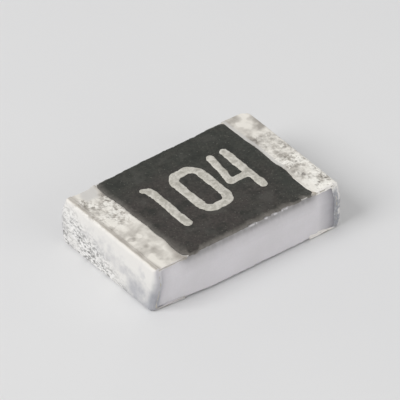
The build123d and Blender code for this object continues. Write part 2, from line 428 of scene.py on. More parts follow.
def ink_material():
    r = Recipe("marking_ink")
    mottle = r.ramp(r.noise(20, 4, 0.7, 0.5), 0.36, 0.66)
    colour = r.mix(mottle, (0.69, 0.665, 0.605), (0.47, 0.45, 0.395))
    # The ink is thinner along the middle of its strokes, and has pinholes.
    hollow = r.math("MULTIPLY", r.attribute("middle"), r.ramp(r.noise(11, 4, 0.65, 0.8), 0.46, 0.62))
    pin = r.ramp(r.voronoi(26).outputs["Distance"], 0.22, 0.1)
    colour = r.over(colour, hollow, 0.62, (0.33, 0.315, 0.275))
    colour = r.over(colour, pin, 0.28, (0.22, 0.215, 0.19))
    normal = r.bump(r.noise(50, 3, 0.6), 0.0018, 0.6)
    return r.finish(Base_Color=colour, Roughness=0.6, Specular_IOR_Level=0.3, Normal=normal)


def alumina_material():
    r = Recipe("alumina")
    cloud = r.ramp(r.noise(3, 4, 0.55), 0.3, 0.7)
    grain = r.ramp(r.noise(60, 2), 0.3, 0.8)
    colour = r.mix(cloud, (0.8, 0.777, 0.803), (0.75, 0.73, 0.748))
    colour = r.over(colour, grain, 0.25, (0.7, 0.68, 0.695))
    # Painted shade beside the caps, then resin smear with painted shade down the scribe bevel.
    colour = r.mix(r.attribute("cap_shade"), colour, (0.16, 0.155, 0.185))
    colour = r.mix(r.attribute("resin_and_shade"), colour, (0.13, 0.122, 0.115))
    normal = r.bump(r.noise(80, 3, 0.65), 0.001, 0.35)
    return r.finish(
        Base_Color=colour, Roughness=0.72, Specular_IOR_Level=0.3, Normal=normal,
        Subsurface_Weight=0.35, Subsurface_Radius=(1, 0.95, 0.9), Subsurface_Scale=0.05 * MM,
    )


def plain_layer(name, light, dark, metallic, roughness, scale):
    """A buried layer: fired or plated, with a grain of its own."""
    r = Recipe(name)
    colour = r.mix(r.ramp(r.noise(scale, 4, 0.6), 0.3, 0.7), light, dark)
    normal = r.bump(r.noise(scale * 4, 2), 0.001, 0.4)
    return r.finish(Base_Color=colour, Roughness=roughness, Metallic=metallic, Normal=normal)


tin = tin_material()
coat_resin = coat_material()
ink = ink_material()
alumina = alumina_material()
# Buried layers by slot: light and dark colour, metallic, roughness, grains to the millimetre.
BURIED_LOOKS = {
    "nickel": ((0.62, 0.58, 0.52), (0.5, 0.47, 0.42), 1.0, 0.35, 18),
    "silver_paste": ((0.75, 0.73, 0.7), (0.58, 0.56, 0.53), 0.8, 0.6, 22),
    "edge_paste": ((0.55, 0.53, 0.5), (0.4, 0.39, 0.37), 0.7, 0.65, 16),
    "resistive_paste": ((0.03, 0.03, 0.034), (0.055, 0.055, 0.06), 0.0, 0.6, 20),
    "glass_glaze": ((0.2, 0.32, 0.22), (0.14, 0.24, 0.16), 0.0, 0.2, 12),
}
buried = {slot: plain_layer(slot, *looks) for slot, looks in BURIED_LOOKS.items()}

# ---- where the coat meets the terminals ----
# x from and to which the coat's front edge is chipped.
FRONT_CHIPS = ((0.034, 0.108), (0.198, 0.23), (0.276, 0.322), (0.383, 0.458))
# (y, x) along the line where the coat meets each terminal.
RIGHT_EDGE = (
    (-0.62, 0.758), (-0.6, 0.746), (-0.575, 0.727), (-0.55, 0.716), (-0.52, 0.712), (-0.46, 0.709),
    (-0.34, 0.709), (-0.28, 0.718), (-0.22, 0.727), (-0.16, 0.724), (-0.1, 0.713), (-0.04, 0.714),
    (0.14, 0.722), (0.2, 0.72), (0.26, 0.713), (0.32, 0.708), (0.38, 0.707), (0.62, 0.706),
)
LEFT_EDGE = (
    (-0.62, -0.62), (-0.595, -0.64), (-0.57, -0.656), (-0.52, -0.665), (-0.46, -0.667), (-0.4, -0.662),
    (-0.34, -0.65), (-0.28, -0.651), (-0.19, -0.656), (-0.1, -0.648), (0.0, -0.655), (0.14, -0.657),
    (0.26, -0.653), (0.34, -0.664), (0.44, -0.674), (0.52, -0.668), (0.57, -0.664), (0.62, -0.65),
)
# Lighter and darker blotches on the plated bands: (x, y, radius, change of tone).
BLOTCHES = (
    (0.865, 0.465, 0.1, 0.65), (0.92, 0.105, 0.045, -0.4), (0.785, -0.225, 0.075, -0.5),
    (0.87, -0.29, 0.075, -0.4), (0.935, -0.5, 0.055, -0.8), (0.815, -0.44, 0.08, 0.35),
    (0.87, 0.01, 0.06, 0.4), (0.77, 0.15, 0.04, -0.2), (0.9, 0.22, 0.05, 0.4),
    (0.89, -0.13, 0.05, 0.35), (-0.79, -0.45, 0.12, -0.28), (-0.87, -0.44, 0.06, 0.5),
    (-0.79, -0.16, 0.04, 0.5), (-0.82, -0.235, 0.085, -0.5), (-0.87, -0.17, 0.035, -0.5),
    (-0.85, 0.11, 0.055, 0.5), (-0.9, 0.06, 0.035, -0.6),
)


def terminal_edge(side, y):
    """x of the wavy line where the coat meets a terminal."""
    curve = np.array(RIGHT_EDGE if side > 0 else LEFT_EDGE).T
    wobble = 0.0035 * noise(points_at(y, 3.0 * side, 0), 0.05, 41, 2).reshape(np.shape(y))
    return np.interp(y, *curve) + wobble


def chipped(x, y):
    """1 where the coat's front edge is chipped and the ceramic shows white, else 0."""
    total = np.zeros(np.shape(x))
    soft = 0.012
    for start, stop in FRONT_CHIPS:
        chip = (y < 0) * ease(start - soft, start, x) * ease(stop + soft, stop, x)
        total = np.maximum(total, chip)
    return total


def side_half(z):
    """Half width of the plated body at height z, following the scribe bevel."""
    widest = ceramic_high[1] + PLATING
    return np.interp(z, [SCRIBE, CERAMIC_TOP], [widest, ceramic_high[1] - SETBACK + PLATING])


# ---- tin plating ----
# A terminal's section runs from the coat over the ridge and down the end face to the pad beneath. Places on
# it are counted by its corners: 1 is beside the coat, 2 and 3 the ridge's slope, 4 the end's top edge, 5 the
# bend of the end face, 6 the foot, 7 and 8 the step up to the pad, and 9 the pad's inner edge.
SLOPE_FOOT, SLOPE_TOP = 0.921, 0.929
FOOT, FOOT_STEP = 0.735, 0.006
PAD_LEVEL = 0.005
SECTION_RADII = [0, 0.008, 0.006, 0.01, 0.06, 0.22, 0.045, 0.01, 0.003, 0.003, 0]
SECTION_STEPS = [0.0052] * 6 + [0.01] * 4
ROLL_RADII = [0.01, 0.01, 0.01, 0.011, 0.02, 0.05, 0.04, 0.012, 0.01, 0.01, 0.01]
# Stations across the chip: on the flat, round each rolled corner and down each slightly dished lip.
FLAT_STATIONS, ROLL_STATIONS, LIP_STATIONS, LIP_DISH = 236, 10, 11, 0.0035
# The thin rim on the ceramic: how much further inwards, and how deep as a share of the plating.
RIM_STEPS = ((0.004, 0.35), (0.006, 0.8), (0.005, 1.25))
INNER_STRIDE = 8  # outer rows or columns for each one of the inner skin
BLEED_Y = [-0.6, -0.45, -0.25, 0.1, 0.3, 0.42, 0.6]
BLEED = [0.115, 0.08, 0.028, 0.022, 0.04, 0.055, 0.04]


def coat_reach(side):
    return abs(coat_high[0] if side > 0 else coat_low[0])


def tin_section(side):
    """The section's points and places, the way and depth inwards to the lips' edge, and the roll's radius."""
    reach = coat_reach(side)
    end, pad, step = tin_high[0], tin_low[0], FOOT - FOOT_STEP
    ridge = RIDGE if side < 0 else RIDGE_RIGHT
    section = [
        (reach, BAND - 0.012), (reach, BAND), (SLOPE_FOOT, BAND), (SLOPE_TOP, ridge), (TOP_END, ridge),
        (end, SCRIBE), (end, 0), (FOOT, 0), (step, PAD_LEVEL), (pad, PAD_LEVEL), (pad, ceramic_low[2]),
    ]
    path, place = rounded_path(section, SECTION_RADII, SECTION_STEPS)
    lip_x, lip_top, lip_foot = ceramic_high[0] - 0.045, CERAMIC_TOP - PLATING, ceramic_low[2] + PLATING
    inner = np.array([
        (reach, lip_top), (reach + 0.004, lip_top), (0.9, lip_top), (0.904, lip_top), (lip_x - 0.01, lip_top),
        (lip_x, SCRIBE), (lip_x, lip_foot), (FOOT, lip_foot), (step, lip_foot), (pad + 0.01, lip_foot),
        (pad, lip_foot),
    ])
    corners = range(len(section))
    inner_path = np.stack([np.interp(place, corners, inner[:, k]) for k in (0, 1)], axis=1)
    depth = np.linalg.norm(inner_path - path, axis=1)
    inward = (inner_path - path) / np.maximum(depth, 1e-9)[:, None]
    roll = np.minimum(np.interp(place, corners, ROLL_RADII), depth * 0.8)
    return path, place, inward, depth, roll


def mirrored(half):
    """Values for the stations across the chip: a half on either side of the flat, which has 0."""
    return np.concatenate([half[::-1], np.zeros(FLAT_STATIONS), half])


def tin_grid(side):
    """The section swept across the chip and rolled over both sides into thin lips, with the place of each row
    along the section and how far each column lies over the side."""
    path, place, inward, depth, roll = tin_section(side)
    turns = np.linspace(0, math.pi / 2, ROLL_STATIONS + 1)[1:]
    lip = np.linspace(0, 1, LIP_STATIONS + 1)[1:]

    def station(sign, inset, drop):
        xz = path + inward * inset[:, None]
        return points_at(xz[:, 0], sign * (side_half(xz[:, 1]) - drop), xz[:, 1])

    half = [(roll * (1 - math.cos(a)), roll * (1 - math.sin(a))) for a in turns]
    half += [(roll + t * (depth - roll), LIP_DISH * math.sin(math.pi * min(1, t * 1.15)) ** 2) for t in lip]
    half += [(depth + out, sink * PLATING) for out, sink in RIM_STEPS]
    width = side_half(path[:, 1]) - roll
    columns = [station(-1, *each) for each in half[::-1]]
    columns += [points_at(path[:, 0], width * f, path[:, 1]) for f in np.linspace(-1, 1, FLAT_STATIONS)]
    columns += [station(1, *each) for each in half]
    grid = np.stack(columns, axis=1)
    x, y = grid[:, :, 0], grid[:, :, 1]

    # The plating's foot ends in a bumpy line on the ceramic's sides.
    rim = np.ones(len(RIM_STEPS))
    reached = mirrored(np.concatenate([np.zeros(ROLL_STATIONS), lip, rim]))
    over = mirrored(np.concatenate([np.linspace(0.1, 0.7, ROLL_STATIONS), np.ones(LIP_STATIONS), rim]))
    at_foot = ease(6.2, 6.6, place)[:, None] * reached[None, :] * (side > 0)
    bumps = noise(points_at(x, y, 0), 0.04, 53, 2).reshape(y.shape)
    grid[:, :, 2] += at_foot * (0.007 + 0.013 * bumps)

    # The inner border follows the coat's wavy edge, and the ridge wanders a little.
    shift = (np.abs(terminal_edge(side, y)) - coat_reach(side)) * np.interp(place, [1, 2], [1, 0])[:, None]
    wander = noise(points_at(0, y, side), 0.16, 51, 3).reshape(y.shape)
    shift = shift + 0.006 * wander * np.interp(place, [1, 2, 3, 4], [0, 1, 1, 0])[:, None]
    grid[:, :, 0] = (x + shift) * side
    return grid, place, over


def left_wear(at):
    """The left terminal's masks: painted shade and resin bleed in the groove, a painted tone on the ridge's
    edge for its highlight, no painted highlights, pale lips, and painted shade at the corners.
    """
    y, away, top, face = at.y, at.away, at.top, at.face
    # Painted shade: the groove inside the ridge is darkened to a brown grey.
    deep = np.interp(y, [-0.63, -0.58, -0.3, 0.25, 0.5, 0.6], [0.5, 0.9, 1.0, 0.9, 1.0, 0.8])
    spread = 0.02 * ease(-0.42, -0.58, y) + 0.03 * ease(0.42, 0.55, y)
    groove_shade_and_bleed = np.interp(away, [0.9, 0.932, 0.948, 0.96, 0.968], [0, 0.5, 1, 0.9, 0])
    wide = ease(0.905, 0.94, away + spread) * ease(0.972, 0.96, away) * 0.7
    groove_shade_and_bleed = np.maximum(groove_shade_and_bleed, wide) * deep * (0.6 + 0.5 * at.uneven) * top
    # Resin bleeds a little over the plating, most near the front and the back.
    bleed = ease(0, 1, 1 - (terminal_edge(-1, y) - at.x) / np.interp(y, BLEED_Y, BLEED)) * top
    bleed = bleed * np.maximum(ease(0.5, 0.9, at.place), ease(-0.54, -0.58, y))
    groove_shade_and_bleed = np.maximum(groove_shade_and_bleed, (0.62 + 0.25 * ease(-0.3, -0.5, y)) * bleed)
    bumpy = 0.5 + 0.5 * noise(at.along, 0.035, 59, 2)
    # Painted light: the ridge's rounded outer edge gets a flat cream of its own, which sets the bright line
    # that the light draws along it.
    rim = ease(0.958, 0.976, away) * ease(4.9, 4.05, at.place + 0.3 * bumpy)
    rim = rim * (0.45 + 0.55 * at.uneven)
    pale = ease(0.05, 0.75, at.over) * (1 - ease(0, 0.5, y)) * 0.95
    pale = pale * ease(-0.668, -0.725, at.x)
    # Painted shade: the end face's front corner is darkened to a mottled bluish grey, more towards the foot,
    # and its back corner a little.
    lower = 0.45 + 0.55 * ease(0.36, 0.12, at.z)
    mottled = 0.85 + 0.3 * noise(at.p, 0.05, 99, 2)
    shade = ease(0.565, 0.63, -y) * face * lower * mottled + 0.3 * ease(0.56, 0.635, y) * face
    return groove_shade_and_bleed, rim, np.zeros(len(y)), pale, shade


def right_wear(at):
    """The right terminal's masks, in the same order: painted highlights on its edges and painted shade on its
    side lips. Its ridge has no groove and no rim.
    """
    y, top, face = at.y, at.top, at.face
    # Painted highlights along the band's inner edge and the ridge's outer edge at the front, along the front
    # edge, and along the foot line.
    painted_highlight = np.interp(at.place, [1.18, 1.3], [1, 0]) * ease(-0.2, -0.38, y)
    painted_highlight = painted_highlight + ease(0.966, 0.978, at.away) * ease(-0.35, -0.5, y) * top
    painted_highlight = painted_highlight + ease(0.575, 0.6, -y) * top + ease(0.6, 0.62, -y) * at.under * 1.2
    # Painted shade and reflection: the lips over both sides are darkened to a mottled bluish grey.
    mottled = 0.92 + 0.75 * noise(at.p, 0.026, 99, 2)
    shade = ease(0.6, 0.632, np.abs(y)) * face * np.clip(mottled, 0.2, 1.15)
    # Painted highlights: bright specks on the rolled front corner, with less painted shade under them.
    speckled = ease(-0.3, 0.3, noise(at.p, 0.03, 96, 2))
    edge = (y < 0) * face * ((at.over > 0) * (at.over < 0.75)) * speckled
    none = np.zeros(len(y))
    return none, none, painted_highlight + 0.6 * edge, none, shade * (1 - 0.75 * edge)


def tin_tone(side, at, ends, crystal):
    """How light the smooth plating is, and the crystals that are left between its blotches."""
    x, y, z, top, face = at.x, at.y, at.z, at.top, at.face
    tone = 0.9 + np.where(face > 0.5, 0.75, 0.9) * noise(at.p, 0.115, 93, 3)
    if side > 0:
        outer = ease(0.885, 0.925, x) * ease(-0.25, -0.1, y) * top
        tone = tone - 0.15 * outer + 0.12 * ease(-0.3, -0.42, y) * top
        tone = tone - 0.22 * ease(0.3, 0.42, y) * top
        lumpy = ease(-0.25, -0.1, y) * ease(0.42, 0.3, y) * top
        tone = tone + (0.12 + 1.1 * noise(at.p, 0.075, 94, 2)) * lumpy
        crystal = crystal * (1 - 0.25 * outer)
    else:
        # Painted shade: the left end face is darker towards its lower front.
        tone = tone - 0.85 * ease(-0.16, -0.4, y) * ease(0.31, 0.13, z) * face
        tone = tone + 0.22 * ease(0.2, 0.34, z) * face * (1 - ends) - 0.16 * face * ends
    for bx, by, radius, change in BLOTCHES:
        if bx * side > 0:
            near = np.hypot(x - bx, y - by) + 0.035 * noise(at.p, 0.05, 95, 2)
            tone = tone + change * ease(radius, radius * 0.35, near) * top
            crystal = crystal * (1 - 0.7 * (change > 0.5) * ease(radius, radius * 0.4, near) * top)
    return tone, crystal


def close_shell(p, normal, side):
    """Points and faces of a grid of points p, closed by a plain inner skin."""
    rows, count = normal.shape[:2]
    pick_u = np.unique(np.append(np.arange(0, rows, INNER_STRIDE), rows - 1))
    pick_v = np.unique(np.append(np.arange(0, count, INNER_STRIDE), count - 1))
    inside = (p.reshape(rows, count, 3) - normal * TIN)[np.ix_(pick_u, pick_v)]
    outer = np.arange(rows * count).reshape(rows, count)
    inner = rows * count + np.arange(len(pick_u) * len(pick_v)).reshape(len(pick_u), len(pick_v))
    turn = side > 0
    faces = quads(rows, count, flip=turn) + quads(*inner.shape, rows * count, flip=not turn)
    for fine, coarse, picks, flip in (
        (outer[0], inner[0], pick_v, not turn), (outer[-1], inner[-1], pick_v, turn),
        (outer[:, 0], inner[:, 0], pick_u, turn), (outer[:, -1], inner[:, -1], pick_u, not turn),
    ):
        fine, coarse = fine.tolist(), coarse.tolist()
        for a in range(len(picks) - 1):
            run = fine[picks[a]:picks[a + 1] + 1]
            made = [[v, w, coarse[a]] for v, w in zip(run, run[1:])] + [[run[-1], coarse[a + 1], coarse[a]]]
            faces += [face[::-1] if flip else face for face in made]
    return np.concatenate([p, inside.reshape(-1, 3)]), faces


def tin_shell(side):
    """The plated skin of a terminal."""
    grid, place, over = tin_grid(side)
    rows, count = grid.shape[:2]
    normal = grid_normals(grid) * side
    p = grid.reshape(-1, 3)
    x, y, z = p.T
    place = np.repeat(place, count)
    top = ease(4.3, 3.9, place)
    under = ease(6.1, 6.4, place)
    face = (1 - top) * (1 - under)
    along = points_at(0, y, side)
    at = SimpleNamespace(
        p=p, x=x, y=y, z=z, place=place, over=np.tile(over, rows), top=top, under=under, face=face,
        along=along, uneven=0.5 + 0.5 * noise(along, 0.09, 55, 2),
        away=np.abs(x) + 0.004 * noise(along, 0.06, 56, 2),
    )

    # Crystals stand at the back of the left band, on all but the back of the right one, and on the ends.
    if side < 0:
        band = ease(-0.08, 0.2, y) * (1 - ease(-0.05, 0.03, y - 0.53 + 0.3 * np.abs(x + 0.9)))
        ends = ease(0, 1, 0.48 + (y - 0.02) * 1.8 + (0.16 - z) * 3.4)
    else:
        band = ease(0.36, 0.18, y) * ease(0.0, 0.035, x - terminal_edge(1, y) - 0.004)
        ends = np.full(len(p), 0.7)
    patches = ease(-0.45, 0.1, noise(p * (1, 0.75, 1.3), 0.11, 61, 2))
    crystal = np.clip(top * band + face * ends + under * 0.7, 0, 1) * (0.4 + 0.6 * patches)
    groove_shade_and_bleed, rim, painted_highlight, pale, shade = (left_wear if side < 0 else right_wear)(at)
    groove_shade_and_bleed, rim = np.clip(groove_shade_and_bleed, 0, 1) * 0.9, np.clip(rim, 0, 1) * 0.85
    painted_highlight, shade = np.clip(painted_highlight, 0, 1) * 0.9, np.clip(shade, 0, 1) * 0.88
    tone, crystal = tin_tone(side, at, ends, crystal)

    # The skin's relief: crystal facets, a slow swell, and the groove and rim.
    broad = 0.62 * facets(p, 0.052, 71) + 0.38 * facets(p, 0.024, 81)
    dense = 0.45 * facets(p * (1, 0.7, 1.3), 0.03, 73) + 0.55 * facets(p * (1, 0.7, 1.3), 0.016, 83)
    facet = np.where(face > 0.5, 1.35 * dense, broad)
    swell = 0.6 * noise(p, 0.15, 91, 3) + 0.4 * noise(p, 0.05, 97, 2)
    drop = 0.0027 - 0.0027 * facet * crystal - 0.0022 * swell * (1 - 0.6 * crystal)
    drop = drop + 0.003 * rim * (0.5 + noise(p, 0.035, 98, 2))
    drop = np.clip(drop + 0.003 * groove_shade_and_bleed, 0, TIN * 0.92)
    p = p - normal.reshape(-1, 3) * drop[:, None]

    # Smooth grey plating: a patch on the left band, and a strip beside the coat on the right one.
    if side < 0:
        smooth = to_box(x, y, (-0.78, 0.535), (0.08, 0.08), 0.06) + 0.03 * noise(p, 0.07, 57, 2)
        smooth = ease(0.03, -0.03, smooth) * top * 0.9
        grey = np.maximum(0.9 * smooth, ease(0.6, 0.62, np.abs(y)) * under)
        crystal = crystal * (1 - smooth)
    else:
        smooth = ease(0.04, 0.024, x - terminal_edge(1, y)) * ease(-0.28, -0.1, y) * top
        grey = 0.8 * smooth
        crystal = crystal * (1 - 0.9 * smooth)

    points, faces = close_shell(p, normal, side)
    masks = dict(
        crystal=crystal, facet=facet, tone=tone, face=face, grey=grey, groove_shade_and_bleed=groove_shade_and_bleed, rim=rim, shade=shade,
        painted_highlight=painted_highlight, pale=pale,
    )
    inner_zeros = np.zeros(len(points) - len(p))
    masks = {mask: np.append(values, inner_zeros) for mask, values in masks.items()}
    end = "right" if side > 0 else "left"
    return make_mesh("tin_skin_" + end, points, faces, tin, ["tin_plating_" + end], masks)


# ---- ceramic and coat ----
def rounded_loop(half_x, half_y, radius, step, end_step):
    """Points anticlockwise round a rounded rectangle, a step apart along x and an end_step along y."""
    loop = []
    corners = ((1, -1, -90), (1, 1, 0), (-1, 1, 90), (-1, -1, 180))
    for n, (sx, sy, start) in enumerate(corners):
        cx, cy = sx * (half_x - radius), sy * (half_y - radius)
        for t in np.linspace(0, 1, 7):
            a = math.radians(start + 90 * t)
            loop.append((cx + radius * math.cos(a), cy + radius * math.sin(a)))
        nx, ny, _ = corners[(n + 1) % 4]
        a = math.radians(start + 90)
        ahead = (nx * (half_x - radius) + radius * math.cos(a), ny * (half_y - radius) + radius * math.sin(a))
        here = np.array(loop[-1])
        count = max(2, round(math.dist(here, ahead) / (step if n in (1, 3) else end_step)))
        loop += [here + (ahead - here) * t for t in np.arange(1, count) / count]
    return np.array(loop)


def ring_at(loop, z):
    """A loop of (x, y) points at height z."""
    return np.column_stack([loop, np.broadcast_to(z, len(loop))])


def ring_faces(rings, count):
    """Faces of a stack of rings of points, closed at both ends."""
    last = (rings - 1) * count
    return quads(rings, count, closed=True) + [list(range(count))[::-1], list(range(last, last + count))]


# Resin smear with painted shade, by depth down the scribe bevel, where 1 is its foot, and painted shade
# beside the caps along x.
RESIN_SHADE_DEPTH = [0, 0.19, 0.26, 0.33, 0.4, 0.46, 0.6, 0.87, 1.0, 1.3]
RESIN_SHADE = [0.72, 0.65, 0.56, 0.47, 0.37, 0.29, 0.2, 0.12, 0.07, 0]
CAP_SHADE_X = [-0.95, -0.92, -0.9, -0.87, -0.8, 0.75, 0.79, 0.85, 0.87, 0.895, 0.916, 0.96]
CAP_SHADE = [0.5, 0.45, 0.27, 0.13, 0.02, 0.0, 0.18, 0.4, 0.52, 0.68, 0.8, 0.8]


def ceramic_body():
    half_x, half_y, top = ceramic_high
    low = ceramic_low[2]
    loop = rounded_loop(half_x, half_y, 0.025, 0.0075, 0.05)

    def bevelled(t):
        return loop * np.array([1 - END_SETBACK * t / half_x, 1 - SETBACK * t / half_y])

    # Rings from the middle of the underside, up the sides and over the scribe bevel to the middle of the top.
    foot = ((0.012, 0), (0.004, 0.0015), (0.0012, 0.004))
    rings = [ring_at(loop * scale, low) for scale in (0.25, 0.6, 0.85, 0.96, 0.985)]
    rings += [ring_at(loop * (1 - inset / half_y), low + rise) for inset, rise in foot]
    rings += [ring_at(loop, z) for z in np.linspace(low + 0.009, SCRIBE, 38)]
    rings += [ring_at(bevelled(t), SCRIBE + t * (top - SCRIBE)) for t in np.linspace(0, 1, 17)[1:]]
    rings += [ring_at(bevelled(1) * scale, top) for scale in (0.985, 0.9, 0.5)]
    p = np.concatenate(rings)
    x, y, z = p.T
    out = points_at(0, np.sign(y), 0)
    between_caps = ease(0.955, 0.93, np.abs(x))
    on_side = ease(half_y - SETBACK - 0.004, half_y - SETBACK, np.abs(y)) * between_caps
    # Snapped faces are slightly wavy, and a thin burr hangs from the lower edge.
    wave = 0.0018 * noise(p, 0.3, 101, 2) + 0.0007 * noise(p, 0.02, 103, 2)
    wave = wave + 0.004 * ease(-0.5, 0.3, x) * ease(0.25, 0.05, z)
    p = p + out * (wave * (on_side * ease(low + 0.002, low + 0.02, z)))[:, None]
    lower = points_at(x, np.sign(y) * 4, 0)
    burr = 0.55 + 0.3 * noise(lower, 0.1, 105, 2) + 0.25 * noise(lower, 0.025, 106, 2)
    burr = np.clip(burr, 0, 1) * on_side * ease(low + 0.025, low + 0.002, z) * ease(-0.75, 0.0, x)
    p = p + out * (0.004 * burr)[:, None]
    p[:, 2] -= 0.013 * burr
    # White chips stand where the coat broke off the upper edge.
    crumbs = ease(-0.45, -0.05, noise(points_at(x, 0, 0), 0.016, 107, 2))
    chip = chipped(x, y) * crumbs * ease(top - 0.014, top - 0.004, z) * on_side
    p = p + out * (0.003 * chip)[:, None]
    p[:, 2] += 0.006 * chip
    # Resin smeared over the scribed bevel darkens it, with painted shade under the coat's edge, less and less
    # downwards.
    between = ease(0.8, 0.68, x) * ease(-0.74, -0.6, x)
    streak = 0.9 + 0.14 * noise(points_at(x * 2.5, y, z), 0.06, 109, 2)
    resin_and_shade = np.interp((top - z) / (top - SCRIBE), RESIN_SHADE_DEPTH, RESIN_SHADE) * streak
    resin_and_shade = resin_and_shade * between * (1 - 0.75 * chip) * between_caps
    resin_and_shade = resin_and_shade * (np.abs(y) > half_y - SETBACK - 0.03)
    # Painted shade: the ceramic is darkened with a bluish grey beside the caps, most beside the right one.
    cap_shade = np.interp(x, CAP_SHADE_X, CAP_SHADE) * (0.9 + 0.1 * noise(p, 0.05, 111, 2))
    faces = ring_faces(len(rings), len(loop))
    masks = {"resin_and_shade": resin_and_shade, "cap_shade": cap_shade}
    return make_mesh("ceramic_body", p, faces, alumina, ["ceramic_substrate"], masks)


def coat_surface(p):
    """Slow swell of the coat's top, at most 0.002 under its level."""
    return 0.001 * (noise(p, 0.22, 121, 2) - 1)


def coat_body():
    half_x, half_y = 0.7, ceramic_high[1] - SETBACK - 0.002
    loop = rounded_loop(half_x, half_y, 0.045, 0.006, 0.006)
    n = len(loop)
    lx, ly = loop.T
    ends = ease(half_x - 0.04, half_x - 0.004, np.abs(lx))
    # The border follows the terminals' wavy edges, and is ragged along the snapped sides.
    target = np.where(lx > 0, terminal_edge(1, ly), terminal_edge(-1, ly))
    x = lx + (target - np.sign(lx) * half_x) * ease(0.45, half_x, np.abs(lx))
    flat = points_at(x, ly, 0)
    ragged = noise(flat, 0.06, 123, 2)
    fine = noise(flat, 0.018, 124, 2)
    side = 1 - ends
    out = side * (0.005 * ragged + 0.003 * fine - 0.012 * chipped(x, ly))
    bare = ease(0.585, 0.6, x) * ease(0.66, 0.645, x)  # here the electrode's edge shows
    pad = electrode_low[0]
    wrapped = ease(pad - 0.03, pad - 0.01, np.abs(x)) * (1 - bare) * (ly < 0)
    out = out * (1 - wrapped) + 0.0065 * wrapped * side
    border = np.column_stack([x, ly + np.sign(ly) * out])
    over_electrode = ease(pad - 0.012, pad, np.abs(x)) * (1 - wrapped * side)
    low = CERAMIC_TOP + 0.0006 + (electrode_high[2] - CERAMIC_TOP) * over_electrode
    low = low - 0.01 * side * ease(-0.1, 0.5, ragged)
    low = low * side + (BAND - 0.004) * ends
    soft = 1 + 0.9 * ease(-0.3, -0.52, ly) * (lx < 0)
    # How far in from the border the coat reaches its full height, and how thin it looks on the way.
    width = 0.058 * ends * soft + side * np.where(ly < 0, 0.046 + 0.008 * fine, 0.024)
    width = width * (1 - 0.74 * wrapped * side)
    fade = side * np.where(ly < 0, 1.0, 0.35) + 0.55 * ends * (lx < 0)

    def inset_ring(inset, z):
        inset = np.broadcast_to(inset, n)
        return ring_at(border * np.column_stack([1 - inset / half_x, 1 - inset / half_y]), z)

    # Rings from the middle of the underside, out to the border, over it and back to the middle of the top.
    none = np.zeros(n)
    rings = [(ring_at(border * scale, electrode_high[2] + 0.0005), none) for scale in (0.3, 0.86)]
    rings.append((inset_ring(0.01, low - 0.001), none))
    for t in np.linspace(0, 1, 14):
        rise = 1 - (1 - t) ** 2.2
        rings.append((inset_ring(width * t, low + (COAT_TOP - low) * rise), fade * (1 - t) ** 1.3))
    crest = rings[-1][0]
    rings += [(ring_at(crest[:, :2] * scale, crest[:, 2]), none) for scale in np.linspace(1, 0.02, 84)[1:]]
    p = np.concatenate([ring for ring, _ in rings])
    on_top = ease(COAT_TOP - 0.006, COAT_TOP - 0.001, p[:, 2])
    p[:, 2] += coat_surface(p) * on_top
    pits = ease(0.55, 0.9, noise(p, 0.018, 125)) * on_top
    p[:, 2] -= 0.0006 * pits
    p[:, 2] += 0.00025 * noise(p, 0.009, 127) * on_top
    masks = {"thin": np.concatenate([thin for _, thin in rings])}
    faces = ring_faces(len(rings), n)
    return make_mesh("overcoat_skin", p, faces, coat_resin, ["overcoat"], masks)


# ---- printed digits ----
def to_stroke(x, y, a, b, width):
    """Signed distance to a round-ended stroke."""
    ax, ay = a
    dx, dy = b[0] - ax, b[1] - ay
    t = np.clip(((x - ax) * dx + (y - ay) * dy) / (dx * dx + dy * dy), 0, 1)
    return np.hypot(x - ax - dx * t, y - ay - dy * t) - width / 2


def to_box(x, y, centre, half, radius):
    """Signed distance to a rounded rectangle."""
    qx = np.abs(x - centre[0]) - half[0] + radius
    qy = np.abs(y - centre[1]) - half[1] + radius
    return np.hypot(np.maximum(qx, 0), np.maximum(qy, 0)) + np.minimum(np.maximum(qx, qy), 0) - radius


def blend_min(distances, k=0.012):
    """Union of strokes whose joints fill in slightly, as wet ink does."""
    total = distances[0]
    for d in distances[1:]:
        h = np.clip(0.5 + 0.5 * (d - total) / k, 0, 1)
        total = d * (1 - h) + total * h - k * h * (1 - h)
    return total


def one(x, y):
    return blend_min([
        to_stroke(x, y, (-0.364, -0.266), (-0.36, 0.236), 0.086),
        to_stroke(x, y, (-0.364, 0.252), (-0.404, 0.276), 0.066),
    ], 0.03)


def zero(x, y):
    outer = to_box(x, y, (0.003, 0.016), (0.177, 0.305), 0.145)
    return np.maximum(outer, -outer - 0.092)


def four(x, y):
    return blend_min([
        to_stroke(x, y, (0.462, -0.247), (0.462, 0.275), 0.086),
        to_stroke(x, y, (0.32, 0.284), (0.268, -0.052), 0.076),
        to_stroke(x, y, (0.268, -0.06), (0.462, -0.058), 0.074),
    ], 0.02)


def trace(xs, ys, distance):
    """Points (x, y, depth inside) and faces of the area of a grid where the distance is below 0."""
    inside = distance < 0
    points, index, faces = [], {}, []

    def vertex(key, x, y, depth):
        if key not in index:
            index[key] = len(points)
            points.append((x, y, depth))
        return index[key]

    for i, j in itertools.product(range(len(xs) - 1), range(len(ys) - 1)):
        ring = [(i, j), (i + 1, j), (i + 1, j + 1), (i, j + 1)]
        face = []
        for a, b in zip(ring, ring[1:] + ring[:1]):
            if inside[a]:
                face.append(vertex(a, xs[a[0]], ys[a[1]], -distance[a]))
            if inside[a] != inside[b]:
                first, second = sorted((a, b))
                t = distance[first] / (distance[first] - distance[second])
                cx = xs[first[0]] + (xs[second[0]] - xs[first[0]]) * t
                cy = ys[first[1]] + (ys[second[1]] - ys[first[1]]) * t
                face.append(vertex((first, second), cx, cy, 0.0))
        if len(face) > 2:
            faces.append(face)
    return np.array(points), faces


